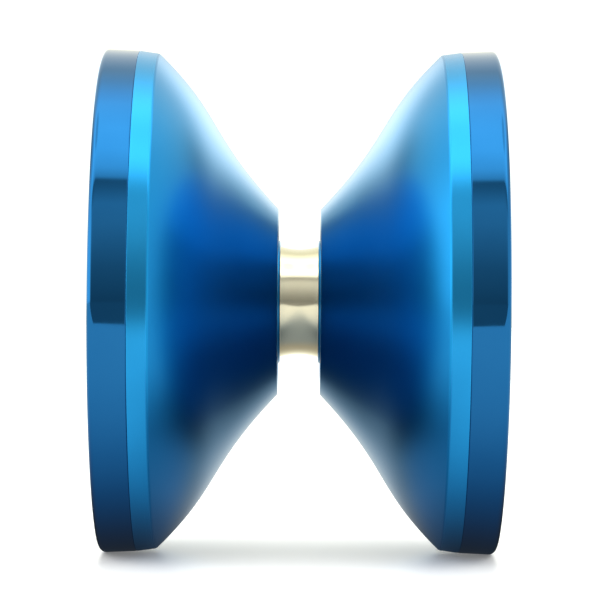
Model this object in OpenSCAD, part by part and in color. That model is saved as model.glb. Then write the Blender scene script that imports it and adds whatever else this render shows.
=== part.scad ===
// Yo yo: two turned metal halves with pressed-on rim rings, screwed together on
// one set-screw axle, and a concave ball bearing that carries the string.
// Units are mm. The axle lies along X, +Z is up, and the origin is the bearing's centre.
// The right half is drawn. The left one is the same piece turned end for end.
// Profiles are lists of [x, r]: a place along the axle and a radius.

/* [Yo yo] */

// Outside diameter over the rim rings
diameter = 57.5; // [55:0.5:62]
// Width over the two rim faces
width = 45; // [43:0.5:48]
// Width of the string gap between the flat hub walls
hub_gap = 4.84; // [4.7:0.02:5.1]

/* [Cups] */

// Thickness of the cup wall, measured along the axle
wall = 2.95; // [2.5:0.05:3.3]
// Distance from the middle of the gap to the cup floor
floor_x = 7.2; // [6.6:0.1:7.8]
// Thickness of the half's rim under the ring
rim_wall = 1.4; // [1.1:0.05:1.8]
// Diameter of the boss on the cup floor
boss_diameter = 10; // [9:0.2:12]
// Width of the machined band beside the rim ring
band = 2.2; // [1.8:0.1:2.6]

/* [Rim rings] */

// Width of the rim ring
ring_width = 4.2; // [3.8:0.1:4.6]
// Thickness of the rim ring, from its bore to the outside
ring_wall = 3.15; // [2.8:0.05:3.6]
// Rounding of the ring's outer edge
ring_edge = 0.7; // [0.5:0.05:1]

/* [Hub] */

// Thickness of the raised lip round the bearing
lip_wall = 0.57; // [0.45:0.01:0.7]
// Height of that lip above the hub wall
lip_height = 0.26; // [0.1:0.02:0.32]
// Width of the response pad's ring
pad_width = 2.49; // [2.2:0.01:2.7]
// Width of the hub wall between the response pad and the corner
hub_land = 1.1; // [0.8:0.05:1.4]
// Thickness of the response pad
pad_thickness = 1.1; // [0.8:0.05:1.4]

/* [Bearing] */

// Bore of the bearing
bearing_bore = 6.35; // [6.2:0.01:6.4]
// Outside diameter of the bearing
bearing_od = 12.7; // [12.6:0.01:12.8]
// Width of the bearing
bearing_width = 4.7625; // [4.6:0.0025:4.8]
// Ball diameter
ball_d = 1.5875; // [1.5:0.0125:1.6]
// Depth of the hollow turned round the outer race
race_hollow = 0.35; // [0.2:0.01:0.4]

/* [Axle] */

// Outside diameter of the axle
axle_diameter = 4; // [3.8:0.05:4.2]
// Length of the axle
axle_length = 18; // [17:0.25:19]
// Hexagon key size of the axle's socket
hex_key = 2; // [1.5:0.1:2.2]

/* [Hidden] */

$fn = 96;
balls = 10;

// clearances
seat_fit = 0.015; // radial, seat post in the bearing
axle_fit = 0.02; // radial, axle in its holes
pocket_fit = 0.1; // radial, round the outer race
race_gap = 0.25; // beside the outer race
pad_fit = 0.02; // radial, pad in its recess
ball_run = 0.01; // a ball to its groove or pocket
shield_fit = 0.02; // radial, shield in the outer race
snap_fit = 0.02; // snap ring in its groove
hole_play = 0.6; // hole's bottom beyond half the axle's length

// half and rim ring
crown = 0.15; // how far the ring bulges beyond the seam
band_drop = 0.3; // how far the band falls from the seam to the flank
seam = 0.12; // edge break on both sides of the seam
band_edge = 0.15; // edge break between flank and band
spigot_length = 3;
ring_inner_edge = 0.8;
floor_fillet = 1.5;
boss_fillet = 1.3;
boss_edge = 1;
boss_cover = 1.9; // metal between the hole's bottom and the boss's top
mouth_fillet = 0.7;

// hub
hub_edge = 0.2;
post_gap = 0.35; // seat post's tip to the middle
post_edge = 0.25;
shoulder_width = 0.725; // shoulder that clamps the inner race
lip_edge = 0.24;
pad_proud = -0.08; // pad's face against the hub wall
small_edge = 0.1;

// bearing
inner_wall = 0.571; // inner race under its ball groove
groove_slack = 0.031; // groove radius over ball radius
race_edge = 0.6; // shoulders of the races, from the balls' pitch radius
race_break = 0.15;
outer_flange = 0.2; // plain width beside the outer race's hollow
shield_x = 1.7;
shield_t = 0.2;
shield_dish = 0.1;
shield_lap = 0.15; // shield's bore over the inner race's shoulder
snap_t = 0.24;
snap_width = 0.35;
snap_depth = 0.2; // snap ring's groove
rim_lip = 0.08; // edge of the outer race that holds the snap ring
shield_wall = 0.8; // outer race outside the shield's seat
cage_back = 1.15;
cage_front = 0.45;
cage_wall = 0.66;
cage_slot = 0.4;
cage_slot_depth = 0.55;

outer_r = diameter / 2;
half = width / 2;
hub_x = hub_gap / 2;
ring_x = half - ring_width;
band_x = ring_x - band;
seam_r = outer_r - crown;
band_r = seam_r - band_drop;
spigot_r = outer_r - ring_wall;
spigot_x = ring_x + spigot_length;
mouth_r = spigot_r - rim_wall;
boss_r = boss_diameter / 2;
seat_x = bearing_width / 2;
pocket_x = seat_x + race_gap;
pocket_r = bearing_od / 2 + pocket_fit;
post_r = bearing_bore / 2 - seat_fit;
shoulder_r = bearing_bore / 2 + shoulder_width;
lip_x = hub_x - lip_height;
lip_r = pocket_r + lip_wall;
pad_x = hub_x - pad_proud;
pad_r = lip_r + pad_fit + pad_width;
hub_r = pad_r + hub_land;
recess_x = pad_x + pad_thickness;
axle_r = axle_diameter / 2;
hole_r = axle_r + axle_fit;
hole_x = axle_length / 2 + hole_play;
boss_x = hole_x + boss_cover;
ball_r = ball_d / 2;
pitch_r = bearing_bore / 2 + inner_wall + ball_run + ball_r;
race_r = ball_r + groove_slack;
race_shift = race_r - ball_r - ball_run;
snap_x = shield_x + shield_t;
shield_r = bearing_od / 2 - shield_wall;

// corner a-c-b rounded off as a parabola from a to b
function soft(a, c, b, n = 5) =
    [for (i = [0:n]) let (t = i / n) (1 - t) * (1 - t) * a + 2 * t * (1 - t) * c + t * t * b];

// cubic curve with its ends at a and d
function cubic(a, b, c, d, t) =
    pow(1 - t, 3) * a + 3 * t * pow(1 - t, 2) * b + 3 * t * t * (1 - t) * c + pow(t, 3) * d;

// arc round centre c from angle a0 to a1, where 0 degrees points along +x
function arc(c, r, a0, a1, n) =
    [for (i = [0:n]) let (a = a0 + (a1 - a0) * i / n) c + r * [cos(a), sin(a)]];

// a profile's points with x reversed, in reverse order
function flip(p) = [for (i = [len(p) - 1:-1:0]) [-p[i].x, p[i].y]];

// the cup's S-shaped flank: concave by the hub, convex by the rim
flank_0 = [hub_x, hub_r];
flank_1 = [band_x, band_r];
reach = norm(flank_1 - flank_0);
function flank_at(t) =
    cubic(flank_0,
          flank_0 + 0.527 * reach * [cos(46.4), sin(46.4)],
          flank_1 - 0.453 * reach * [cos(44.1), sin(44.1)],
          flank_1, t);
flank = [for (i = [0:48]) flank_at(i / 48)];
x_of_r = [for (p = flank) [p.y, p.x]];
r_of_x = [for (p = flank) [p.x, p.y]];
function flank_x(r) = lookup(r, x_of_r);
function flank_r(x) = lookup(x, r_of_x);

// the same flank moved in by the wall, as the inside of the cup
floor_r = flank_r(floor_x - wall);
inner_low = floor_r + floor_fillet * 0.87;
inner_high = mouth_r - mouth_fillet;
function inner(r) = [flank_x(r) + wall, r];

module turned(points) {
    rotate([0, 90, 0])
        rotate_extrude()
            polygon([for (p = points) [p.y, p.x]]);
}

module other_side() {
    rotate([0, 0, 180])
        children();
}

hub_face = concat(
    [[hole_x, 0],
     [hole_x, hole_r],
     [post_gap + 3 * small_edge, hole_r],
     [post_gap, hole_r + 3 * small_edge],
     [post_gap, post_r - post_edge],
     [post_gap + post_edge, post_r],
     [seat_x, post_r],
     [seat_x, shoulder_r],
     [pocket_x, shoulder_r],
     [pocket_x, pocket_r]],
    soft([lip_x + small_edge, pocket_r], [lip_x, pocket_r], [lip_x, pocket_r + small_edge], 3),
    soft([lip_x, lip_r - lip_edge], [lip_x, lip_r], [lip_x + lip_edge, lip_r]),
    [[recess_x, lip_r],
     [recess_x, pad_r + pad_fit],
     [hub_x + small_edge / 2, pad_r + pad_fit],
     [hub_x, pad_r + pad_fit + small_edge / 2]],
    soft([hub_x, hub_r - hub_edge], flank_0, flank_at(hub_edge / reach), 4));

flank_start = hub_edge / reach;
flank_end = 1 - band_edge / reach;
rim = concat(
    [for (i = [1:46]) flank_at(flank_start + (flank_end - flank_start) * i / 47)],
    soft(flank_at(flank_end), flank_1, flank_1 + band_edge * [1, band_drop / band], 4),
    [[ring_x - seam, seam_r - seam * band_drop / band],
     [ring_x, seam_r - seam],
     [ring_x, spigot_r],
     [spigot_x - 2 * small_edge, spigot_r],
     [spigot_x, spigot_r - 2 * small_edge],
     [spigot_x, mouth_r + small_edge],
     [spigot_x - small_edge, mouth_r]]);

cup = concat(
    soft([flank_x(mouth_r) + wall + mouth_fillet, mouth_r], inner(mouth_r), inner(inner_high)),
    [for (i = [1:19]) inner(inner_high + (inner_low - inner_high) * i / 20)],
    soft(inner(inner_low), [floor_x, floor_r], [floor_x, floor_r - floor_fillet], 6),
    soft([floor_x, boss_r + boss_fillet], [floor_x, boss_r], [floor_x + boss_fillet, boss_r]),
    soft([boss_x - boss_edge, boss_r], [boss_x, boss_r], [boss_x, boss_r - boss_edge]),
    [[boss_x, 0]]);

module half_body() {
    color([0.05, 0.36, 0.66])
        turned(concat(hub_face, rim, cup));
}

module left_half() {
    other_side()
        half_body();
}

module right_half() {
    half_body();
}

module rim_ring() {
    color([0.04, 0.3, 0.6])
        turned(concat(
            [[ring_x, spigot_r],
             [ring_x, seam_r - seam],
             [ring_x + seam, seam_r]],
            soft([half - ring_edge - crown, outer_r], [half, outer_r], [half, outer_r - ring_edge], 8),
            [[half, spigot_r + ring_inner_edge],
             [half - ring_inner_edge, spigot_r]]));
}

module left_rim_ring() {
    other_side()
        rim_ring();
}

module right_rim_ring() {
    rim_ring();
}

module response_pad() {
    pad_in = lip_r + pad_fit;
    color([0.85, 0.86, 0.84])
        turned([
            [recess_x, pad_in],
            [pad_x + small_edge, pad_in],
            [pad_x, pad_in + small_edge],
            [pad_x, pad_r - small_edge],
            [pad_x + small_edge, pad_r],
            [recess_x, pad_r]]);
}

module left_response_pad() {
    other_side()
        response_pad();
}

module right_response_pad() {
    response_pad();
}

// set screw, home against the bottom of the left half's hole
module axle() {
    end_x = axle_length - hole_x;
    point = axle_diameter / 10;
    socket = hex_key * 1.1;
    color([0.62, 0.63, 0.65])
        difference() {
            turned([
                [-hole_x, 0],
                [-hole_x, axle_r - point],
                [-hole_x + point, axle_r],
                [end_x - point, axle_r],
                [end_x, axle_r - point],
                [end_x, 0]]);
            translate([end_x - socket, 0, 0])
                rotate([0, 90, 0])
                    cylinder(h = 2 * socket, r = hex_key / 2 / cos(30), $fn = 6);
        }
}

// half of the ball groove's width where it opens at a race's shoulder
groove_x = sqrt(race_r * race_r - pow(race_edge + race_shift, 2));
groove_a = acos(groove_x / race_r);

module bearing_outer_race() {
    od_r = bearing_od / 2;
    hollow_x = seat_x - outer_flange;
    hollow_r = (hollow_x * hollow_x + race_hollow * race_hollow) / (2 * race_hollow);
    hollow_a = asin(hollow_x / hollow_r);
    side = [
        [shield_x, pitch_r + race_edge],
        [shield_x, shield_r],
        [snap_x, shield_r],
        [snap_x, shield_r + snap_depth],
        [snap_x + snap_t + snap_fit, shield_r + snap_depth],
        [snap_x + snap_t + snap_fit, shield_r + rim_lip],
        [seat_x, shield_r + rim_lip],
        [seat_x, od_r - rim_lip],
        [seat_x - rim_lip, od_r]];
    color([0.78, 0.78, 0.76])
        turned(concat(
            arc([0, pitch_r - race_shift], race_r, 180 - groove_a, groove_a, 12),
            side,
            arc([0, od_r - race_hollow + hollow_r], hollow_r, 270 + hollow_a, 270 - hollow_a, 20),
            flip(side)));
}

module bearing_inner_race() {
    side = [
        [seat_x, pitch_r - race_edge],
        [seat_x, bearing_bore / 2 + race_break],
        [seat_x - race_break, bearing_bore / 2]];
    color([0.8, 0.8, 0.79])
        turned(concat(
            arc([0, pitch_r + race_shift], race_r, 180 + groove_a, 360 - groove_a, 12),
            side,
            flip(side)));
}

// crown retainer: the balls snap in from its open side
module bearing_cage() {
    color([0.9, 0.88, 0.8])
        difference() {
            turned([
                [-cage_back, pitch_r - cage_wall / 2],
                [-cage_back, pitch_r + cage_wall / 2],
                [cage_front, pitch_r + cage_wall / 2],
                [cage_front, pitch_r - cage_wall / 2]]);
            for (i = [0:balls - 1])
                rotate([i * 360 / balls, 0, 0]) {
                    translate([0, 0, pitch_r])
                        sphere(r = ball_r + ball_run);
                    rotate([180 / balls, 0, 0])
                        translate([cage_front - cage_slot_depth, -cage_slot / 2, pitch_r - cage_wall])
                            cube([2 * cage_slot_depth, cage_slot, 2 * cage_wall]);
                }
        }
}

module ball(i) {
    color([0.86, 0.86, 0.86])
        rotate([(i - 1) * 360 / balls, 0, 0])
            translate([0, 0, pitch_r])
                sphere(r = ball_r);
}

module shield() {
    bore_r = pitch_r - race_edge + shield_lap;
    step_r = (bore_r + shield_r) / 2;
    color([0.7, 0.7, 0.7])
        turned([
            [shield_x - shield_dish, bore_r],
            [shield_x - shield_dish, step_r],
            [shield_x, step_r + shield_dish],
            [shield_x, shield_r - shield_fit],
            [snap_x, shield_r - shield_fit],
            [snap_x, step_r + shield_dish],
            [snap_x - shield_dish, step_r],
            [snap_x - shield_dish, bore_r]]);
}

module left_shield() {
    other_side()
        shield();
}

module right_shield() {
    shield();
}

module snap_ring() {
    color([0.55, 0.55, 0.56])
        rotate([0, 90, 0])
            rotate_extrude(angle = 332)
                polygon([
                    [shield_r + snap_depth - snap_fit - snap_width, snap_x],
                    [shield_r + snap_depth - snap_fit, snap_x],
                    [shield_r + snap_depth - snap_fit, snap_x + snap_t],
                    [shield_r + snap_depth - snap_fit - snap_width, snap_x + snap_t]]);
}

module left_snap_ring() {
    other_side()
        snap_ring();
}

module right_snap_ring() {
    snap_ring();
}

left_half();
right_half();
left_rim_ring();
right_rim_ring();
left_response_pad();
right_response_pad();
axle();
bearing_outer_race();
bearing_inner_race();
bearing_cage();
ball(1);  // ball_1
ball(2);  // ball_2
ball(3);  // ball_3
ball(4);  // ball_4
ball(5);  // ball_5
ball(6);  // ball_6
ball(7);  // ball_7
ball(8);  // ball_8
ball(9);  // ball_9
ball(10);  // ball_10
left_shield();
right_shield();
left_snap_ring();
right_snap_ring();
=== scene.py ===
# %% [markdown]
# # A flared metal yo yo
# Two turned aluminium halves are screwed together on a short axle, with a ball bearing
# between them that carries the string. The solids come from the CAD model as a fixed
# frame of named bodies. This lesson gives them their finish: lathe-smooth surfaces,
# blue anodising, a polished bearing, and the light of a small photo table.

# %% Load the frame
import math

import bmesh
import bpy
from mathutils import Matrix, Vector


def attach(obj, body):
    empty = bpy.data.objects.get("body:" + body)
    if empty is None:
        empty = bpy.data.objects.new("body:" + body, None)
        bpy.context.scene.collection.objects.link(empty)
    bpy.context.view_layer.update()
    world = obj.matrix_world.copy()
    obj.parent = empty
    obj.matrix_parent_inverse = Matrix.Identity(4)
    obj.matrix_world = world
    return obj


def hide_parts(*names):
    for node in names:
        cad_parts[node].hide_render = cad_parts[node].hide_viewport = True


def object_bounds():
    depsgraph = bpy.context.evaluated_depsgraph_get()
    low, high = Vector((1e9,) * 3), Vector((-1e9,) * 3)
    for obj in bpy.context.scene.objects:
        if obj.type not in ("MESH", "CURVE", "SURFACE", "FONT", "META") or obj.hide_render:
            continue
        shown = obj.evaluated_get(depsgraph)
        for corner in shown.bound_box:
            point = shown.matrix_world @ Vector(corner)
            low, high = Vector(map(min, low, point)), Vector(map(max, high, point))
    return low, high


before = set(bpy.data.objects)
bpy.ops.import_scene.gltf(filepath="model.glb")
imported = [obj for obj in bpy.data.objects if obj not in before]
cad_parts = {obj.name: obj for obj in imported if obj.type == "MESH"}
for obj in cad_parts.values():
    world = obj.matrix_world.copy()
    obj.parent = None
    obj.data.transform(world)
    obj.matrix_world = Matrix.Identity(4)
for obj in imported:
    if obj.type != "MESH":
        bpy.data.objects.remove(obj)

MM = 0.001
cad_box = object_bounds()
print("CAD box in mm:", [[round(v / MM, 2) for v in corner] for corner in cad_box])

# %% [markdown]
# ## The camera
# A long lens at axle height makes the two rims look like flat bands. The distance was
# worked out from how much the rims bulge in the picture, and the focal length from the
# size of the bearing. The table was not quite level, so the camera is rolled a little.

# %% Camera at the photograph's place
CAMERA_BACK = 354 * MM
CAMERA_ASIDE = 0.10 * MM
CAMERA_HEIGHT = 0.22 * MM
CAMERA_ROLL = 0.38
LENS = 185.1
SENSOR = 36
PICTURE_PIXELS = 600
camera_data = bpy.data.cameras.new("camera")
camera_data.lens = LENS
camera_data.sensor_width = SENSOR
camera_data.clip_start = 0.01
camera_data.clip_end = 20
camera = bpy.data.objects.new("camera", camera_data)
camera.matrix_world = (
    Matrix.Translation((CAMERA_ASIDE, -CAMERA_BACK, CAMERA_HEIGHT))
    @ Matrix.Rotation(math.radians(90), 4, "X")
    @ Matrix.Rotation(math.radians(CAMERA_ROLL), 4, "Z"))
bpy.context.scene.collection.objects.link(camera)
bpy.context.scene.camera = camera
bpy.context.scene.view_settings.view_transform = "Standard"
print("one mm at the axle is", round(PICTURE_PIXELS * LENS / SENSOR * MM / CAMERA_BACK, 2), "pixels")

# %% [markdown]
# ## Helpers for finishes
# Every colour is written as the sRGB value that a paint program shows, and one function
# turns it to the linear light that Blender works in. Another adds a node with its
# settings and its links, so a finish reads as a short list. Two more start a finish and
# close it with its shader. Most values of Blender's noise lie between 0.3 and 0.7, so
# that range is what a pattern is stretched from.

# %% Colour and node helpers
NOISE_LOW, NOISE_HIGH = 0.3, 0.7


def linear(hex_code):
    """An sRGB colour in linear light, by the sRGB standard's formula."""
    parts = [int(hex_code[i:i + 2], 16) / 255 for i in (1, 3, 5)]
    return [v / 12.92 if v <= 0.04045 else ((v + 0.055) / 1.055) ** 2.4 for v in parts] + [1.0]


def add(tree, kind, inputs=None, **settings):
    """Adds a node. An input that is given a socket is linked to it, any other gets the value."""
    node = tree.nodes.new(kind)
    for name, value in settings.items():
        setattr(node, name, value)
    for key, value in (inputs or {}).items():
        if isinstance(value, bpy.types.NodeSocket):
            tree.links.new(value, node.inputs[key])
        else:
            node.inputs[key].default_value = value
    return node


def new_finish(name):
    material = bpy.data.materials.new(name)
    material.use_nodes = True
    material.node_tree.nodes.clear()
    return material, material.node_tree


def close_finish(material, tree, inputs):
    """Feeds one Principled shader with these inputs and ends the finish with it."""
    shader = add(tree, "ShaderNodeBsdfPrincipled", inputs)
    add(tree, "ShaderNodeOutputMaterial", {"Surface": shader.outputs[0]})
    print(material.name, "has", len(tree.nodes), "nodes")
    return material


print("mid blue in linear light:", [round(v, 3) for v in linear("#2070b0")])

# %% [markdown]
# ## Bead-blasted, anodised aluminium
# The halves were turned, blasted with fine glass beads and dyed blue in the anodising
# bath. To the eye that is a satin metal: reflections are there, but spread wide, and
# they take the blue of the dye except at a flat angle. A metallic base gives both, and a
# weak coat stands for the clear oxide, which whitens the flat angles a little more.
# Real bead marks are about 0.05 mm and smaller than a pixel here, so they are drawn at
# 0.15 mm. Shade is painted into the colour by the radius: darker toward the hub, deep in
# the gap between the halves, and a little lighter toward the rim. A faint cloud of dye
# tone lies over it. The band beside the rim ring was cut again after blasting, so it
# is lighter, smoother and has fine turning lines, drawn 0.4 mm wide to show at all. The
# distance to the middle and to the axle finds the band.

# %% Where the band is, and the painted shade toward the hub
BAND_FROM = 16.17
BAND_RADIUS = 28.2
DYE_CLOUD = 9
HUB_SHADE_RADIUS = 12
HUB_SHADE = 0.76
RIM_LIGHT_RADIUS = 27
RIM_LIGHT = 1.08


def on_band(tree, split, radius):
    """One on the machined band, nought on the rest of a half."""
    across = add(tree, "ShaderNodeMath", {0: split.outputs["X"]}, operation="ABSOLUTE")
    past_edge = add(tree, "ShaderNodeMath", {
        0: across.outputs[0], 1: BAND_FROM * MM}, operation="GREATER_THAN")
    outside = add(tree, "ShaderNodeMath", {0: radius, 1: BAND_RADIUS * MM}, operation="GREATER_THAN")
    return add(tree, "ShaderNodeMath", {
        0: past_edge.outputs[0], 1: outside.outputs[0]}, operation="MULTIPLY").outputs[0]


def dye_cloud_and_painted_shade(tree, place, radius, band):
    """Painted shade that is dark at the hub and a little light at the rim, one on the band, and faintly
    clouded by the dye all over.
    """
    cloud = add(tree, "ShaderNodeTexNoise", {"Vector": place, "Scale": 1 / (DYE_CLOUD * MM), "Detail": 3.0})
    clouded = add(tree, "ShaderNodeMapRange", {
        "Value": cloud.outputs["Fac"], "From Min": NOISE_LOW, "From Max": NOISE_HIGH,
        "To Min": 0.96, "To Max": 1.04})
    # painted shade toward the hub and painted light toward the rim, by the radius
    painted_hub_shade = add(tree, "ShaderNodeMapRange", {
        "Value": radius, "From Min": HUB_SHADE_RADIUS * MM, "From Max": RIM_LIGHT_RADIUS * MM,
        "To Min": HUB_SHADE, "To Max": RIM_LIGHT})
    depth = add(tree, "ShaderNodeMix", {"Factor": band, "A": painted_hub_shade.outputs[0], "B": 1.0})
    return add(tree, "ShaderNodeMath", {
        0: depth.outputs["Result"], 1: clouded.outputs[0]}, operation="MULTIPLY").outputs[0]


# %% Satin blue
BLAST_BLUE = "#1480b8"
BAND_BLUE = "#2596d0"
BLAST_ROUGH = 0.28
BAND_ROUGH = 0.25
GRAIN_ROUGH = 0.03
BEAD_MARK = 0.15
TURNING_LINE = 0.4
BLAST_RELIEF = 0.12
BAND_RELIEF = 0.05
BLAST_OXIDE = 0.08
BAND_OXIDE = 0.04


def satin_blue():
    material, tree = new_finish("bead-blasted blue anodised aluminium")
    place = add(tree, "ShaderNodeTexCoord").outputs["Object"]
    split = add(tree, "ShaderNodeSeparateXYZ", {0: place})
    from_axle = add(tree, "ShaderNodeCombineXYZ", {"Y": split.outputs["Y"], "Z": split.outputs["Z"]})
    radius = add(tree, "ShaderNodeVectorMath", {
        0: from_axle.outputs[0]}, operation="LENGTH").outputs["Value"]
    band = on_band(tree, split, radius)
    colour = add(tree, "ShaderNodeMix", {
        "Factor": band, "A": linear(BLAST_BLUE), "B": linear(BAND_BLUE)}, data_type="RGBA")
    # the blue carries the painted shade toward the hub and the dye's faint cloud
    dyed = add(tree, "ShaderNodeVectorMath", {
        0: colour.outputs["Result"], "Scale": dye_cloud_and_painted_shade(tree, place, radius, band)}, operation="SCALE")
    grain = add(tree, "ShaderNodeTexNoise", {"Vector": place, "Scale": 1 / (BEAD_MARK * MM), "Detail": 2.0})
    lines = add(tree, "ShaderNodeTexNoise", {
        "W": split.outputs["X"], "Scale": 1 / (TURNING_LINE * MM), "Detail": 1.0}, noise_dimensions="1D")
    rough_base = add(tree, "ShaderNodeMix", {"Factor": band, "A": BLAST_ROUGH, "B": BAND_ROUGH})
    rough = add(tree, "ShaderNodeMath", {
        0: grain.outputs["Fac"], 1: GRAIN_ROUGH, 2: rough_base.outputs["Result"]}, operation="MULTIPLY_ADD")
    relief = add(tree, "ShaderNodeMix", {
        "Factor": band, "A": grain.outputs["Fac"], "B": lines.outputs["Fac"]})
    height = add(tree, "ShaderNodeMix", {"Factor": band, "A": BLAST_RELIEF, "B": BAND_RELIEF})
    bump = add(tree, "ShaderNodeBump", {
        "Height": relief.outputs["Result"], "Strength": height.outputs["Result"], "Distance": 0.01 * MM})
    oxide = add(tree, "ShaderNodeMix", {"Factor": band, "A": BLAST_OXIDE, "B": BAND_OXIDE})
    return close_finish(material, tree, {
        "Base Color": dyed.outputs[0], "Metallic": 1.0, "Roughness": rough.outputs[0],
        "Normal": bump.outputs[0], "Coat Weight": oxide.outputs["Result"], "Coat Roughness": 0.2,
        "Coat IOR": 1.6})


blue_satin = satin_blue()

# %% [markdown]
# ## Polished anodised aluminium
# The rim rings were polished before the blue dye went on. They mirror the room nearly
# sharply, only the blue of the dye lies over it. Polishing leaves a faint haze and hair
# lines round the ring, about 0.1 mm apart, which widen the highlights along the axle.

# %% Polished blue
HAIR_LINE = 0.1
HAZE_PATCH = 5


def polished_blue():
    material, tree = new_finish("polished blue anodised aluminium")
    place = add(tree, "ShaderNodeTexCoord").outputs["Object"]
    split = add(tree, "ShaderNodeSeparateXYZ", {0: place})
    lines = add(tree, "ShaderNodeTexNoise", {
        "W": split.outputs["X"], "Scale": 1 / (HAIR_LINE * MM), "Detail": 1.0}, noise_dimensions="1D")
    haze = add(tree, "ShaderNodeTexNoise", {"Vector": place, "Scale": 1 / (HAZE_PATCH * MM), "Detail": 3.0})
    rough = add(tree, "ShaderNodeMapRange", {
        "Value": haze.outputs["Fac"], "From Min": NOISE_LOW, "From Max": NOISE_HIGH,
        "To Min": 0.05, "To Max": 0.09})
    bump = add(tree, "ShaderNodeBump", {
        "Height": lines.outputs["Fac"], "Strength": 0.05, "Distance": 0.001 * MM})
    colour = add(tree, "ShaderNodeMix", {
        "Factor": haze.outputs["Fac"], "A": linear("#1d5e90"), "B": linear("#216496")}, data_type="RGBA")
    return close_finish(material, tree, {
        "Base Color": colour.outputs["Result"], "Metallic": 1.0, "Roughness": rough.outputs[0],
        "Normal": bump.outputs[0]})


blue_polished = polished_blue()

# %% [markdown]
# ## Steel, silicone and nylon
# The bearing's races are ground chrome steel: a satin mirror of a slightly warm grey,
# whose fine grinding lines draw its highlights out. The balls are polished, the axle is
# bright zinc and a little duller, and shields and snap rings are pressed or wound from
# bright steel. The pads are matt silicone and the ball cage is moulded nylon, which
# both let light in a little.

# %% Steel finishes
STAIN_PATCH = 2


def steel(name, colours, rough, line, line_depth, drawn_out=0.0):
    """Colours and roughness are (low, high). The lines' width and depth are in mm."""
    material, tree = new_finish(name)
    place = add(tree, "ShaderNodeTexCoord").outputs["Object"]
    split = add(tree, "ShaderNodeSeparateXYZ", {0: place})
    lines = add(tree, "ShaderNodeTexNoise", {
        "W": split.outputs["X"], "Scale": 1 / (line * MM), "Detail": 2.0}, noise_dimensions="1D")
    stain = add(tree, "ShaderNodeTexNoise", {"Vector": place, "Scale": 1 / (STAIN_PATCH * MM), "Detail": 3.0})
    colour = add(tree, "ShaderNodeMix", {
        "Factor": stain.outputs["Fac"], "A": linear(colours[0]), "B": linear(colours[1])}, data_type="RGBA")
    roughness = add(tree, "ShaderNodeMapRange", {
        "Value": stain.outputs["Fac"], "From Min": NOISE_LOW, "From Max": NOISE_HIGH,
        "To Min": rough[0], "To Max": rough[1]})
    bump = add(tree, "ShaderNodeBump", {
        "Height": lines.outputs["Fac"], "Strength": 0.15, "Distance": line_depth * MM})
    round_axle = add(tree, "ShaderNodeTangent", direction_type="RADIAL", axis="X")
    return close_finish(material, tree, {
        "Base Color": colour.outputs["Result"], "Metallic": 1.0, "Roughness": roughness.outputs[0],
        "Normal": bump.outputs[0], "Tangent": round_axle.outputs[0], "Anisotropic": drawn_out,
        "Anisotropic Rotation": 0.25})


race_steel = steel(
    "ground chrome steel", ("#d2ccae", "#dcd6b8"), rough=(0.16, 0.2), line=0.3, line_depth=0.001,
    drawn_out=0.8)
ball_steel = steel(
    "polished chrome steel", ("#d0d0cd", "#dcdcda"), rough=(0.04, 0.07), line=0.2, line_depth=0.0005)
zinc_steel = steel(
    "bright zinc-plated steel", ("#a9acb0", "#c3c5c8"), rough=(0.2, 0.32), line=0.05, line_depth=0.004)
sheet_steel = steel(
    "pressed bright steel", ("#aeada8", "#c2c1bd"), rough=(0.22, 0.3), line=0.08, line_depth=0.003)


# %% Silicone and nylon
def soft_plastic(name, colours, roughness, grain, grain_depth):
    """Colours are (low, high). The grain's width and depth are in mm."""
    material, tree = new_finish(name)
    place = add(tree, "ShaderNodeTexCoord").outputs["Object"]
    mottle = add(tree, "ShaderNodeTexNoise", {"Vector": place, "Scale": 1 / (grain * MM), "Detail": 3.0})
    colour = add(tree, "ShaderNodeMix", {
        "Factor": mottle.outputs["Fac"], "A": linear(colours[0]), "B": linear(colours[1])}, data_type="RGBA")
    bump = add(tree, "ShaderNodeBump", {
        "Height": mottle.outputs["Fac"], "Strength": 0.4, "Distance": grain_depth * MM})
    return close_finish(material, tree, {
        "Base Color": colour.outputs["Result"], "Roughness": roughness, "Normal": bump.outputs[0],
        "IOR": 1.43, "Subsurface Weight": 0.2, "Subsurface Scale": 0.3 * MM})


silicone = soft_plastic(
    "matt white silicone", ("#d3d6d2", "#e4e6e2"), roughness=0.55, grain=0.12, grain_depth=0.01)
nylon = soft_plastic(
    "moulded nylon", ("#ded6be", "#ece6d2"), roughness=0.4, grain=0.2, grain_depth=0.005)

# %% [markdown]
# ## Sizes
# The profile of a half is written as places along the axle and radii, in millimetres,
# with the CAD model's sizes. Its width and its largest radius are read from the frame,
# and the rest is measured in from them. The flank is one S-shaped curve: hollow beside
# the hub, full beside the rim. Four control points say it all, so it can be measured
# at any place.

# %% Main sizes
HALF_WIDTH = round(cad_box[1][0] / MM, 3)
OUTER_RADIUS = round(cad_box[1][2] / MM, 3)
RING_WIDTH = 4.2
RING_WALL = 3.15
RING_CROWN = 0.15
BAND_WIDTH = 2.2
BAND_DROP = 0.3
RIM_WALL = 1.4
WALL = 2.95
FLOOR = 7.2
HUB_FACE = 2.42
HUB_RADIUS = 10.63
RING_BACK = HALF_WIDTH - RING_WIDTH
BAND_START = RING_BACK - BAND_WIDTH
SEAM_RADIUS = OUTER_RADIUS - RING_CROWN
BAND_START_RADIUS = SEAM_RADIUS - BAND_DROP
SPIGOT = OUTER_RADIUS - RING_WALL
MOUTH = SPIGOT - RIM_WALL
SIDES = (("left", "left_side"), ("right", "right_side"))
print("a half reaches", HALF_WIDTH, "mm along the axle and", OUTER_RADIUS, "mm from it")

# %% The flank's curve
FLANK_ENDS = Vector((HUB_FACE, HUB_RADIUS)), Vector((BAND_START, BAND_START_RADIUS))
HUB_SLOPE = 46.4
HUB_PULL = 0.527
RIM_SLOPE = 44.1
RIM_PULL = 0.453


def heading(degrees):
    return Vector((math.cos(math.radians(degrees)), math.sin(math.radians(degrees))))


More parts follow.
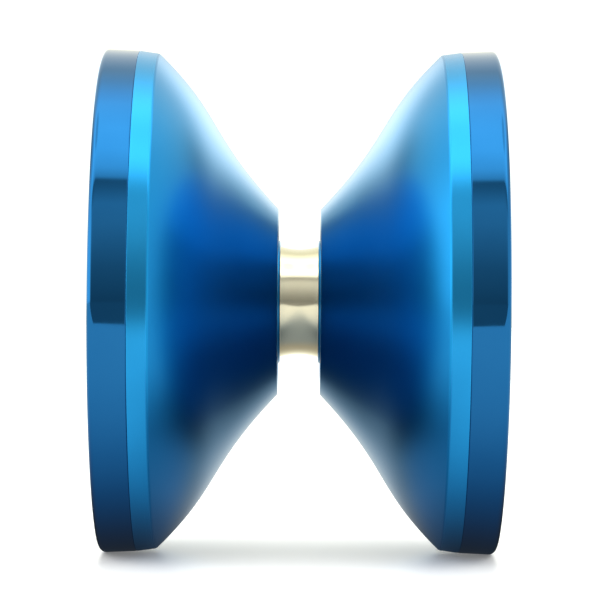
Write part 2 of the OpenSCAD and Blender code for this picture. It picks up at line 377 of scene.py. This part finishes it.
def flank_point(t):
    a, d = FLANK_ENDS
    reach = (d - a).length
    b = a + HUB_PULL * reach * heading(HUB_SLOPE)
    c = d - RIM_PULL * reach * heading(RIM_SLOPE)
    return (1 - t) ** 3 * a + 3 * t * (1 - t) ** 2 * b + 3 * t * t * (1 - t) * c + t ** 3 * d


def flank_share(value, axis=1):
    """The share of the curve at which its radius, or with axis=0 its place, has this value."""
    low, high = 0.0, 1.0
    for _ in range(40):
        middle = (low + high) / 2
        low, high = (middle, high) if flank_point(middle)[axis] < value else (low, middle)
    return low


print("flank half way up:", [round(v, 2) for v in flank_point(0.5)])

# %% [markdown]
# ## Turning a profile on the lathe
# Nearly every piece here was made on a lathe, so it is modelled like that: a few corner
# points joined by edges, a vertex bevel on the corners that are rounded, and one spin
# about the axle. Subdividing or a modifier could round the corners too, but the bevel
# keeps their radius true. The rims are spun in 256 steps, so that they look round in
# their outline, and smaller pieces in fewer.

# %% A lathe made of bmesh operators
HOLD = 0.03
MERGE = 0.0005


def with_holds(corners, closed):
    """Adds a corner close beside each rounding, so that the flats beside it stay flat in the shading."""
    held = []
    for i, corner in enumerate(corners):
        here = Vector(corner[:2])
        reach = corner[2] + HOLD if len(corner) > 2 else 0
        beside = {-1: [], 1: []}
        for step in beside:
            if reach and (closed or 0 <= i + step < len(corners)):
                away = Vector(corners[(i + step) % len(corners)][:2]) - here
                if away.length > 2 * reach:
                    beside[step] = [tuple(here + away.normalized() * reach)]
        held += beside[-1] + [corner] + beside[1]
    return held


def lathe(corners, steps=256, closed=False, turn=360, mirrored=False):
    """Corners are (x, radius) or (x, radius, rounding) in mm."""
    bm = bmesh.new()
    corners = with_holds(corners, closed)
    line = [(bm.verts.new((c[0] * MM, 0, c[1] * MM)), c[2] if len(c) > 2 else 0) for c in corners]
    for (a, _), (b, _) in list(zip(line, line[1:])) + ([(line[-1], line[0])] if closed else []):
        bm.edges.new((a, b))
    for size in sorted({r for _, r in line if r}):
        bmesh.ops.bevel(
            bm, geom=[v for v, r in line if r == size], offset=size * MM, offset_type="OFFSET",
            affect="VERTICES", segments=6, profile=0.5, material=-1)
    bmesh.ops.spin(
        bm, geom=bm.verts[:] + bm.edges[:], cent=(0, 0, 0), axis=(1, 0, 0),
        angle=math.radians(turn), steps=steps, use_merge=turn == 360)
    bmesh.ops.remove_doubles(bm, verts=bm.verts, dist=MERGE * MM)
    if mirrored:
        bmesh.ops.rotate(bm, verts=bm.verts, cent=(0, 0, 0), matrix=Matrix.Rotation(math.pi, 3, "Z"))
    return bm


# %% From a bmesh to a finished piece
SHARP_ANGLE = 28


def finish_mesh(name, bm, body, material, node):
    """Makes a piece with its faces outwards, smooth up to the sharp angle, in the CAD node's place."""
    bmesh.ops.recalc_face_normals(bm, faces=bm.faces)
    if bm.calc_volume(signed=True) < 0:
        bmesh.ops.reverse_faces(bm, faces=bm.faces)
    mesh = bpy.data.meshes.new(name)
    bm.to_mesh(mesh)
    bm.free()
    for face in mesh.polygons:
        face.use_smooth = True
    mesh.set_sharp_from_angle(angle=math.radians(SHARP_ANGLE))
    piece = bpy.data.objects.new(name, mesh)
    bpy.context.scene.collection.objects.link(piece)
    mesh.materials.append(material)
    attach(piece, body)
    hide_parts(node)
    print(name, len(mesh.polygons), "faces")


# %% [markdown]
# ## The two halves
# One half is a single turned piece: seat post and bearing lip in the middle, a recess
# for the pad, the flared flank, the band, the step that carries the ring, and on the
# other side the cup with its boss. Both halves are the same piece, one turned end for
# end. Each corner is named for what it belongs to, and a third number rounds it.

# %% Profile of the hub
HOLE_END, HOLE, HOLE_BREAK = 9.6, 2.02, 0.3
POST_TIP, POST, POST_BREAK = 0.35, 3.16, 0.25
BEARING_SIDE = 2.381
SHOULDER = 3.9
POCKET_FLOOR, POCKET = 2.631, 6.45
LIP_FACE, LIP, LIP_ROUND, LIP_BREAK = 2.16, 7.02, 0.22, 0.08
RECESS_FLOOR, RECESS_BREAK = 3.6, 0.05
PAD_RADIUS, PAD_FIT = 9.53, 0.02
hub_corners = [
    (HOLE_END, 0), (HOLE_END, HOLE), (POST_TIP + HOLE_BREAK, HOLE), (POST_TIP, HOLE + HOLE_BREAK),
    (POST_TIP, POST - POST_BREAK), (POST_TIP + POST_BREAK, POST), (BEARING_SIDE, POST),
    (BEARING_SIDE, SHOULDER), (POCKET_FLOOR, SHOULDER), (POCKET_FLOOR, POCKET),
    (LIP_FACE, POCKET, LIP_BREAK), (LIP_FACE, LIP, LIP_ROUND), (RECESS_FLOOR, LIP),
    (RECESS_FLOOR, PAD_RADIUS + PAD_FIT), (HUB_FACE, PAD_RADIUS + PAD_FIT, RECESS_BREAK)]
print(len(hub_corners), "corners from the axle's hole to the hub's face")

# %% Profile of the flank, the rim and the cup
FLANK_STEPS = 40
CUP_STEPS = 24
SPIGOT_END, SPIGOT_BREAK = 21.3, 0.15
BOSS_TOP, BOSS = 11.5, 5
HUB_ROUND, BAND_CORNER, SEAM_BREAK = 0.08, 0.2, 0.1
MOUTH_BREAK, MOUTH_ROUND, FLOOR_ROUND, BOSS_ROUND = 0.12, 0.5, 1.2, 0.9
flank_corners = [(HUB_FACE, HUB_RADIUS, HUB_ROUND)]
flank_corners += [tuple(flank_point(i / FLANK_STEPS)) for i in range(1, FLANK_STEPS)]
flank_corners += [(BAND_START, BAND_START_RADIUS, BAND_CORNER)]
rim_corners = [
    (RING_BACK, SEAM_RADIUS, SEAM_BREAK), (RING_BACK, SPIGOT), (SPIGOT_END, SPIGOT, SPIGOT_BREAK),
    (SPIGOT_END, MOUTH, MOUTH_BREAK)]
mouth_share, floor_share = flank_share(MOUTH), flank_share(FLOOR - WALL, axis=0)
cup_corners = [(flank_point(mouth_share).x + WALL, MOUTH, MOUTH_ROUND)]
for i in range(1, CUP_STEPS - 3):  # the last steps make room for the floor's rounding
    inner = flank_point(mouth_share + (floor_share - mouth_share) * i / CUP_STEPS)
    cup_corners.append((inner.x + WALL, inner.y))
cup_corners += [
    (FLOOR, flank_point(floor_share).y, FLOOR_ROUND), (FLOOR, BOSS, FLOOR_ROUND),
    (BOSS_TOP, BOSS, BOSS_ROUND), (BOSS_TOP, 0)]
half_corners = hub_corners + flank_corners + rim_corners + cup_corners
print(len(half_corners), "corners in a half's profile")

# %% Turn the halves
for side, body in SIDES:
    finish_mesh(
        side + "_half_turned", lathe(half_corners, mirrored=side == "left"),
        body, blue_satin, side + "_half")

# %% [markdown]
# ## The rim rings
# Each ring is pressed on the rim and polished. It bulges a hair beyond the band, its
# outer edge is rounded, and a small edge break beside the band makes the dark seam.

# %% Turn the rings
RING_INNER_EDGE = 0.8
RING_ROUND, RING_BREAK = 0.7, 0.05
CROWN_BACK = 0.8
ring_corners = [
    (RING_BACK, SPIGOT), (RING_BACK, SEAM_RADIUS, SEAM_BREAK), (HALF_WIDTH - CROWN_BACK, OUTER_RADIUS),
    (HALF_WIDTH, OUTER_RADIUS, RING_ROUND), (HALF_WIDTH, SPIGOT + RING_INNER_EDGE, RING_BREAK),
    (HALF_WIDTH - RING_INNER_EDGE, SPIGOT, RING_BREAK)]
for side, body in SIDES:
    finish_mesh(
        side + "_rim_ring_turned", lathe(ring_corners, closed=True, mirrored=side == "left"),
        body, blue_polished, side + "_rim_ring")

# %% [markdown]
# ## The response pads
# A ring of soft silicone sits in the recess of each hub wall, its face just below the
# wall. It grips the string when the yo yo is tugged.

# %% Turn the pads
PAD_FACE, PAD_ROUND = 2.5, 0.1
PAD_BORE = LIP + PAD_FIT
pad_corners = [
    (RECESS_FLOOR, PAD_BORE), (PAD_FACE, PAD_BORE, PAD_ROUND), (PAD_FACE, PAD_RADIUS, PAD_ROUND),
    (RECESS_FLOOR, PAD_RADIUS)]
for side, body in SIDES:
    finish_mesh(
        side + "_response_pad_cast", lathe(pad_corners, steps=192, closed=True, mirrored=side == "left"),
        body, silicone, side + "_response_pad")

# %% [markdown]
# ## The bearing
# The outer race is ground hollow so that the string stays in its middle. Inside it has
# a groove for the balls, a seat for each shield and a groove for each snap ring. Only
# one side of each race is written down, and the other is its mirror image.

# %% Sizes and arcs of the bearing
BEARING_BORE, BEARING_RADIUS = 3.175, 6.35
BALL_GROOVE = 0.82475
GROOVE_ANGLE = 48.85
OUTER_GROOVE, INNER_GROOVE = 4.5298, 4.5708
SHIELD_IN, SHIELD_OUT, SHIELD_SEAT = 1.7, 1.9, 5.55
SNAP_OUT, SNAP_GROOVE = 2.16, 5.75


def arc_corners(centre, radius, start, end, count):
    return [
        tuple(Vector(centre) + radius * heading(start + (end - start) * i / count)) for i in range(count + 1)]


def other_side(corners):
    return [(-corner[0], *corner[1:]) for corner in reversed(corners)]


print("width of the bearing:", round(2 * BEARING_SIDE, 2), "mm")

# %% Outer race
SHIELD_SHOULDER = 5.15
RACE_LIP, RACE_LIP_BREAK, RACE_ROUND = 5.63, 0.03, 0.08
HOLLOW, HOLLOW_REACH = 0.35, 2.181
outer_side = [
    (SHIELD_IN, SHIELD_SHOULDER), (SHIELD_IN, SHIELD_SEAT), (SHIELD_OUT, SHIELD_SEAT),
    (SHIELD_OUT, SNAP_GROOVE), (SNAP_OUT, SNAP_GROOVE), (SNAP_OUT, RACE_LIP),
    (BEARING_SIDE, RACE_LIP, RACE_LIP_BREAK), (BEARING_SIDE, BEARING_RADIUS, RACE_ROUND)]
hollow_radius = (HOLLOW_REACH ** 2 + HOLLOW ** 2) / (2 * HOLLOW)
hollow_angle = math.degrees(math.asin(HOLLOW_REACH / hollow_radius))
hollow_centre = (0, BEARING_RADIUS - HOLLOW + hollow_radius)
outer_race_corners = (
    arc_corners((0, OUTER_GROOVE), BALL_GROOVE, 180 - GROOVE_ANGLE, GROOVE_ANGLE, 16) + outer_side
    + arc_corners(hollow_centre, hollow_radius, 270 + hollow_angle, 270 - hollow_angle, 28)
    + other_side(outer_side))
finish_mesh(
    "bearing_outer_race_ground", lathe(outer_race_corners, closed=True),
    "bearing_outer", race_steel, "bearing_outer_race")

# %% Inner race
INNER_SHOULDER, INNER_BREAK = 3.95, 0.04
BORE_BREAK = 0.15
inner_side = [
    (BEARING_SIDE, INNER_SHOULDER, INNER_BREAK), (BEARING_SIDE, BEARING_BORE + BORE_BREAK),
    (BEARING_SIDE - BORE_BREAK, BEARING_BORE)]
inner_race_corners = (
    arc_corners((0, INNER_GROOVE), BALL_GROOVE, 180 + GROOVE_ANGLE, 360 - GROOVE_ANGLE, 16)
    + inner_side + other_side(inner_side))
finish_mesh(
    "bearing_inner_race_ground", lathe(inner_race_corners, steps=192, closed=True),
    "bearing_seat", race_steel, "bearing_inner_race")

# %% [markdown]
# ## Inside the bearing
# Ten balls run between the races in a nylon cage. A dished shield closes each side, and
# an open spring ring holds the shield in its groove. They show when the yo yo is
# unscrewed. The cage keeps the CAD model's own shape and only gets its finish.

# %% Balls and cage
BALLS = 10
BALL = 0.79375
PITCH = 4.54975
for number in range(1, BALLS + 1):
    bm = bmesh.new()
    bmesh.ops.create_icosphere(bm, subdivisions=4, radius=BALL * MM)
    bmesh.ops.translate(bm, verts=bm.verts, vec=(0, 0, PITCH * MM))
    turned_on = Matrix.Rotation(math.tau / BALLS * (number - 1), 3, "X")
    bmesh.ops.rotate(bm, verts=bm.verts, cent=(0, 0, 0), matrix=turned_on)
    finish_mesh(f"ball_{number}_polished", bm, "ball_set", ball_steel, f"ball_{number}")
for material_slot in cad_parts["bearing_cage"].material_slots:
    material_slot.material = nylon

# %% Shields and snap rings
SHIELD_FIT = 0.02
SHIELD_DISH, SHIELD_BEND = 0.1, 0.05
SHIELD_BORE, SHIELD_STEP = 4.1, 4.815
SNAP_THICK, SNAP_WIDTH, SNAP_TURN = 0.24, 0.35, 332
SNAP_FIT = 0.02
SNAP_RADIUS = SNAP_GROOVE - SNAP_FIT
shield_corners = [
    (SHIELD_IN - SHIELD_DISH, SHIELD_BORE), (SHIELD_IN - SHIELD_DISH, SHIELD_STEP, SHIELD_BEND),
    (SHIELD_IN, SHIELD_STEP + SHIELD_DISH, SHIELD_BEND), (SHIELD_IN, SHIELD_SEAT - SHIELD_FIT),
    (SHIELD_OUT, SHIELD_SEAT - SHIELD_FIT), (SHIELD_OUT, SHIELD_STEP + SHIELD_DISH, SHIELD_BEND),
    (SHIELD_OUT - SHIELD_DISH, SHIELD_STEP, SHIELD_BEND), (SHIELD_OUT - SHIELD_DISH, SHIELD_BORE)]
snap_corners = [
    (SHIELD_OUT, SNAP_RADIUS - SNAP_WIDTH), (SHIELD_OUT, SNAP_RADIUS),
    (SHIELD_OUT + SNAP_THICK, SNAP_RADIUS), (SHIELD_OUT + SNAP_THICK, SNAP_RADIUS - SNAP_WIDTH)]
for side, _ in SIDES:
    finish_mesh(
        side + "_shield_pressed", lathe(shield_corners, steps=160, closed=True, mirrored=side == "left"),
        "bearing_outer", sheet_steel, side + "_shield")
    bm = lathe(snap_corners, steps=148, closed=True, turn=SNAP_TURN, mirrored=side == "left")
    bmesh.ops.holes_fill(bm, edges=bm.edges, sides=4)
    finish_mesh(
        side + "_snap_ring_wound", bm, "bearing_outer", sheet_steel, side + "_snap_ring")

# %% [markdown]
# ## The axle
# The axle is a headless M4 screw, 18 mm long, with a 0.7 mm thread and a 2 mm hexagon
# socket. One tooth of the thread, written in shares of a thread step and radii, is spun
# along the axis. Whatever passes the ends or the 45 degree points is drawn in to them.

# %% Spin the thread
AXLE_FROM, AXLE_TO = -9.6, 8.4
THREAD_STEP = 0.7
THREAD_DEPTH = 0.541 * THREAD_STEP
CREST = 2.0
ROOT = CREST - THREAD_DEPTH
TOOTH = ((0, ROOT), (0.25, ROOT), (0.5625, CREST), (0.6875, CREST), (1, ROOT))
ROUND_STEPS = 48
turns = math.ceil((AXLE_TO - AXLE_FROM) / THREAD_STEP) + 2
axle = bmesh.new()
tooth = [
    axle.verts.new(((AXLE_FROM + (share - 1) * THREAD_STEP) * MM, 0, radius * MM)) for share, radius in TOOTH]
for a, b in zip(tooth, tooth[1:]):
    axle.edges.new((a, b))
bmesh.ops.spin(
    axle, geom=axle.verts[:] + axle.edges[:], cent=(0, 0, 0), axis=(1, 0, 0),
    dvec=(THREAD_STEP * MM / ROUND_STEPS, 0, 0), angle=turns * math.tau, steps=turns * ROUND_STEPS,
    use_merge=False)
print("turns of thread spun:", turns)

# %% Draw its ends in to their points
POINT = 0.42
for vert in axle.verts:
    vert.co.x = min(max(vert.co.x, AXLE_FROM * MM), AXLE_TO * MM)
    room = CREST - POINT + min(vert.co.x / MM - AXLE_FROM, AXLE_TO - vert.co.x / MM)
    radius = vert.co.yz.length / MM
    if radius > room:
        vert.co.yz = vert.co.yz * (room / radius)
bmesh.ops.remove_doubles(axle, verts=axle.verts, dist=0.002 * MM)
bmesh.ops.dissolve_degenerate(axle, edges=axle.edges, dist=0.001 * MM)
print("open edges at the ends:", sum(e.is_boundary for e in axle.edges))

# %% Close the ends, one with the hexagon socket
KEY = 2.0
SOCKET_DEPTH = 1.1 * KEY
rim_edges = [e for e in axle.edges if e.is_boundary and e.verts[0].co.x > 0]
bmesh.ops.holes_fill(axle, edges=[e for e in axle.edges if e.is_boundary and e.verts[0].co.x < 0])
socket = bmesh.ops.create_circle(
    axle, segments=6, radius=KEY / 2 / math.cos(math.pi / 6) * MM,
    matrix=Matrix.Translation((AXLE_TO * MM, 0, 0)) @ Matrix.Rotation(math.pi / 2, 4, "Y"))["verts"]
socket_edges = list({e for v in socket for e in v.link_edges})
bmesh.ops.bridge_loops(axle, edges=rim_edges + socket_edges)
deeper = bmesh.ops.extrude_edge_only(axle, edges=socket_edges)["geom"]
floor_verts = [g for g in deeper if isinstance(g, bmesh.types.BMVert)]
floor_edges = [g for g in deeper if isinstance(g, bmesh.types.BMEdge)]
bmesh.ops.translate(axle, verts=floor_verts, vec=(-SOCKET_DEPTH * MM, 0, 0))
bmesh.ops.contextual_create(axle, geom=floor_verts + floor_edges)
print("open edges on the axle:", sum(e.is_boundary for e in axle.edges))
finish_mesh("axle_threaded", axle, "left_side", zinc_steel, "axle")

# %% [markdown]
# ## The table
# The yo yo stands on white paper. A camera ray sees plain paper that glows a little,
# for the light that paper and room send back and forth. The metal mirrors the paper
# too, and its lower half shows what lies there: shade close to the yo yo, light that
# turned blue between the flanks, a warmer shade behind, and past the front edge of the
# table a dark room. Lamps could cast all that, but polished metal shows each small
# error, so a mirrored ray sees a light that is worked out from its place on the paper.

# %% White paper
PAPER_FIBRE = 2
PAPER_GLOW = 0.17
paper, tree = new_finish("white paper")
place = add(tree, "ShaderNodeTexCoord").outputs["Object"]
fibre = add(tree, "ShaderNodeTexNoise", {"Vector": place, "Scale": 1 / (PAPER_FIBRE * MM), "Detail": 3.0})
tone = add(tree, "ShaderNodeMix", {
    "Factor": fibre.outputs["Fac"], "A": linear("#f2f2f1"), "B": linear("#f6f6f5")}, data_type="RGBA")
plain_look = add(tree, "ShaderNodeBsdfPrincipled", {
    "Base Color": tone.outputs["Result"], "Roughness": 0.35,
    "Emission Color": linear("#fffffd"), "Emission Strength": PAPER_GLOW})
print("paper fibres drawn", PAPER_FIBRE, "mm wide")

# %% How far a place is from the yo yo
spot = add(tree, "ShaderNodeSeparateXYZ", {0: place})
across = add(tree, "ShaderNodeMath", {0: spot.outputs["X"]}, operation="ABSOLUTE").outputs[0]
past_end = add(tree, "ShaderNodeMath", {
    0: across, 1: HALF_WIDTH * MM}, operation="SUBTRACT", use_clamp=True).outputs[0]
beside = add(tree, "ShaderNodeCombineXYZ", {"X": past_end, "Y": spot.outputs["Y"]}).outputs[0]
distance = add(tree, "ShaderNodeVectorMath", {0: beside}, operation="LENGTH").outputs["Value"]
behind = add(tree, "ShaderNodeMapRange", {
    "Value": spot.outputs["Y"], "From Min": -5 * MM, "From Max": 10 * MM},
    interpolation_type="SMOOTHSTEP").outputs[0]
print("beside the yo yo starts", HALF_WIDTH, "mm from its middle")

# %% How far the shade reaches
BETWEEN_REACH = 52 * MM
SHADE_REACH = 24 * MM
BEHIND_REACH = 28 * MM
reach_in_front = add(tree, "ShaderNodeMapRange", {
    "Value": across, "From Min": 4 * MM, "From Max": 16 * MM, "To Min": BETWEEN_REACH, "To Max": SHADE_REACH},
    interpolation_type="SMOOTHSTEP").outputs[0]
shade_reach = add(tree, "ShaderNodeMix", {
    "Factor": behind, "A": reach_in_front, "B": BEHIND_REACH}).outputs["Result"]
share = add(tree, "ShaderNodeMath", {0: distance, 1: shade_reach}, operation="DIVIDE").outputs[0]
cubed = add(tree, "ShaderNodeMath", {0: share, 1: 3.0}, operation="POWER").outputs[0]
cubed_and_one = add(tree, "ShaderNodeMath", {0: cubed, 1: 1.0}).outputs[0]
out_of_shade = add(tree, "ShaderNodeMath", {0: cubed, 1: cubed_and_one}, operation="DIVIDE").outputs[0]
print("half the light is back", round(SHADE_REACH / MM), "mm from the yo yo")

# %% Light and tint of the shade
BETWEEN_LIGHT = 0.34
UNDER_LIGHT = 0.03
shade_light = add(tree, "ShaderNodeMapRange", {
    "Value": across, "From Min": 3 * MM, "From Max": 19 * MM, "To Min": BETWEEN_LIGHT, "To Max": UNDER_LIGHT},
    interpolation_type="SMOOTHSTEP").outputs[0]
open_share = add(tree, "ShaderNodeMix", {
    "Factor": out_of_shade, "A": shade_light, "B": 1.0}).outputs["Result"]
shade_tint = add(tree, "ShaderNodeMix", {
    "Factor": behind, "A": linear("#c4dfff"), "B": linear("#fff6ec")}, data_type="RGBA").outputs["Result"]
open_tint = add(tree, "ShaderNodeMix", {
    "Factor": behind, "A": linear("#ffffff"), "B": linear("#fffff3")}, data_type="RGBA").outputs["Result"]
# colour of the painted shade and light that the metal mirrors from the paper
mirrored_shade_tint = add(tree, "ShaderNodeMix", {
    "Factor": open_share, "A": shade_tint, "B": open_tint}, data_type="RGBA").outputs["Result"]
print("light between the halves:", BETWEEN_LIGHT, "of the open paper's")

# %% Table edge, and both looks on one sheet
TABLE_EDGE = 160 * MM
EDGE_SLANT = 0.8
TABLE_LIGHT = 1.42
ROOM_DARK = 0.38
SHEET_SIZE = 6
in_front = add(tree, "ShaderNodeMath", {
    0: across, 1: EDGE_SLANT, 2: spot.outputs["Y"]}, operation="MULTIPLY_ADD").outputs[0]
beyond = add(tree, "ShaderNodeMath", {0: in_front, 1: -TABLE_EDGE}, operation="LESS_THAN").outputs[0]
paper_light = add(tree, "ShaderNodeMath", {0: open_share, 1: TABLE_LIGHT}, operation="MULTIPLY").outputs[0]
mirrored_light = add(tree, "ShaderNodeMix", {
    "Factor": beyond, "A": paper_light, "B": ROOM_DARK}).outputs["Result"]
mirrored_look = add(tree, "ShaderNodeEmission", {"Color": mirrored_shade_tint, "Strength": mirrored_light})
in_metal = add(tree, "ShaderNodeLightPath").outputs["Is Glossy Ray"]
either = add(tree, "ShaderNodeMixShader", {
    0: in_metal, 1: plain_look.outputs[0], 2: mirrored_look.outputs[0]})
add(tree, "ShaderNodeOutputMaterial", {"Surface": either.outputs[0]})
bm = bmesh.new()
bmesh.ops.create_grid(bm, x_segments=1, y_segments=1, size=SHEET_SIZE / 2)
bmesh.ops.translate(bm, verts=bm.verts, vec=(0, 0, cad_box[0][2]))
sheet_mesh = bpy.data.meshes.new("floor")
bm.to_mesh(sheet_mesh)
bm.free()
sheet_mesh.materials.append(paper)
sheet = bpy.data.objects.new("floor", sheet_mesh)
bpy.context.scene.collection.objects.link(sheet)
print("floor at z =", round(cad_box[0][2] / MM, 2), "mm")

# %% [markdown]
# ## The white room
# The light is a white room round the axle: one long softbox overhead with a sharp front
# edge, a bright wall behind, and a dim front where the camera stands. Polished metal
# shows the room by its angle, so the strength is a short list of angles, counted from
# the wall behind over the top to the front. At the far left and right the room falls to
# one even strength. Soft round patches then brighten or dim the places where the
# satin flanks look: the wall at both sides, its corners, two windows, the softbox's
# ends, and a lamp on the left that is weaker on the right.

# %% Angles and patches of the room
ROUND_LIGHT = (
    (0, 1.0), (22, 1.25), (42, 1.2), (50, 1.15), (62, 1.6), (80, 2.7), (96, 3.0), (108, 2.9), (118, 2.3),
    (123.2, 1.5), (124.2, 0.46), (128, 0.6), (136, 1.0), (145, 0.92), (165, 0.5), (180, 0.32))
STRONGEST = 4.0
SIDE_LIGHT = 0.75
BACKDROP_LIGHT = 1.2
# each patch: centre on the right, degrees of full light, degrees where it ends, strength right, left
BEHIND_SIDES = ((0.4, 0.9, 0.13), 5, 21, 1.6, 1.6)
DARK_CORNERS = ((0.7, 0.65, 0.32), 3, 11, -1.0, -1.0)
WINDOWS = ((0.85, 0.52, 0.06), 3, 16, 1.5, 1.5)
SOFTBOX_ENDS = ((0.26, -0.1, 0.96), 4, 14, -1.05, -1.05)
HIGH_SIDES = ((0.72, 0.45, 0.52), 6, 24, 0.3, 0.3)
SIDE_LAMPS = ((1, -0.25, 0.1), 15, 45, 1.75 / 3, 1.75)


def patch(tree, way, centre, inner, outer, strength):
    """A round patch of light, full within one angle of its centre and gone past another."""
    nearness = add(tree, "ShaderNodeVectorMath", {
        0: way, 1: Vector(centre).normalized()}, operation="DOT_PRODUCT")
    return add(tree, "ShaderNodeMapRange", {
        "Value": nearness.outputs["Value"], "From Min": math.cos(math.radians(outer)),
        "From Max": math.cos(math.radians(inner)), "To Max": strength},
        interpolation_type="SMOOTHSTEP").outputs[0]


print(len(ROUND_LIGHT), "angles round the axle")

# %% Light by the angle round the axle
world = bpy.data.worlds.new("white room")
world.use_nodes = True
tree = world.node_tree
tree.nodes.clear()
way = add(tree, "ShaderNodeTexCoord").outputs["Generated"]
way = add(tree, "ShaderNodeVectorMath", {0: way}, operation="NORMALIZE").outputs[0]
parts = add(tree, "ShaderNodeSeparateXYZ", {0: way})
angle = add(tree, "ShaderNodeMath", {
    0: parts.outputs["Z"], 1: parts.outputs["Y"]}, operation="ARCTAN2").outputs[0]
angle = add(tree, "ShaderNodeMath", {0: angle}, operation="ABSOLUTE").outputs[0]
share = add(tree, "ShaderNodeMath", {0: angle, 1: math.pi}, operation="DIVIDE").outputs[0]
ramp = add(tree, "ShaderNodeValToRGB", {"Fac": share})
for stop, (degrees, strength) in enumerate(ROUND_LIGHT):
    at = degrees / 180
    element = ramp.color_ramp.elements[stop] if stop < 2 else ramp.color_ramp.elements.new(at)
    element.position = at
    element.color = [strength / STRONGEST] * 3 + [1.0]
round_light = add(tree, "ShaderNodeMath", {
    0: ramp.outputs["Color"], 1: STRONGEST}, operation="MULTIPLY").outputs[0]
print("brightest stop:", max(strength for _, strength in ROUND_LIGHT))

# %% Sides and patches, then the backdrop that the camera sees
to_side = add(tree, "ShaderNodeMath", {0: parts.outputs["X"]}, operation="ABSOLUTE").outputs[0]
sideways = add(tree, "ShaderNodeMapRange", {
    "Value": to_side, "From Min": 0.6, "From Max": 0.88}, interpolation_type="SMOOTHSTEP").outputs[0]
level = add(tree, "ShaderNodeMix", {"Factor": sideways, "A": round_light, "B": SIDE_LIGHT}).outputs["Result"]
for centre, inner, outer, right, left in (
        BEHIND_SIDES, DARK_CORNERS, WINDOWS, SOFTBOX_ENDS, HIGH_SIDES, SIDE_LAMPS):
    for side, strength in ((1, right), (-1, left)):
        light = patch(tree, way, (side * centre[0], *centre[1:]), inner, outer, strength)
        level = add(tree, "ShaderNodeMath", {0: level, 1: light}).outputs[0]
seen = add(tree, "ShaderNodeLightPath").outputs["Is Camera Ray"]
shown = add(tree, "ShaderNodeMix", {"Factor": seen, "A": level, "B": BACKDROP_LIGHT})
backdrop = add(tree, "ShaderNodeMapRange", {
    "Value": parts.outputs["Y"], "From Min": 0.3, "From Max": 0.6}).outputs[0]
tint = add(tree, "ShaderNodeMix", {
    "Factor": backdrop, "A": linear("#ffffff"), "B": linear("#fffff1")}, data_type="RGBA")
sky = add(tree, "ShaderNodeBackground", {
    "Color": tint.outputs["Result"], "Strength": shown.outputs["Result"]})
add(tree, "ShaderNodeOutputWorld", {"Surface": sky.outputs[0]})
bpy.context.scene.world = world
print("the room has", len(tree.nodes), "nodes")
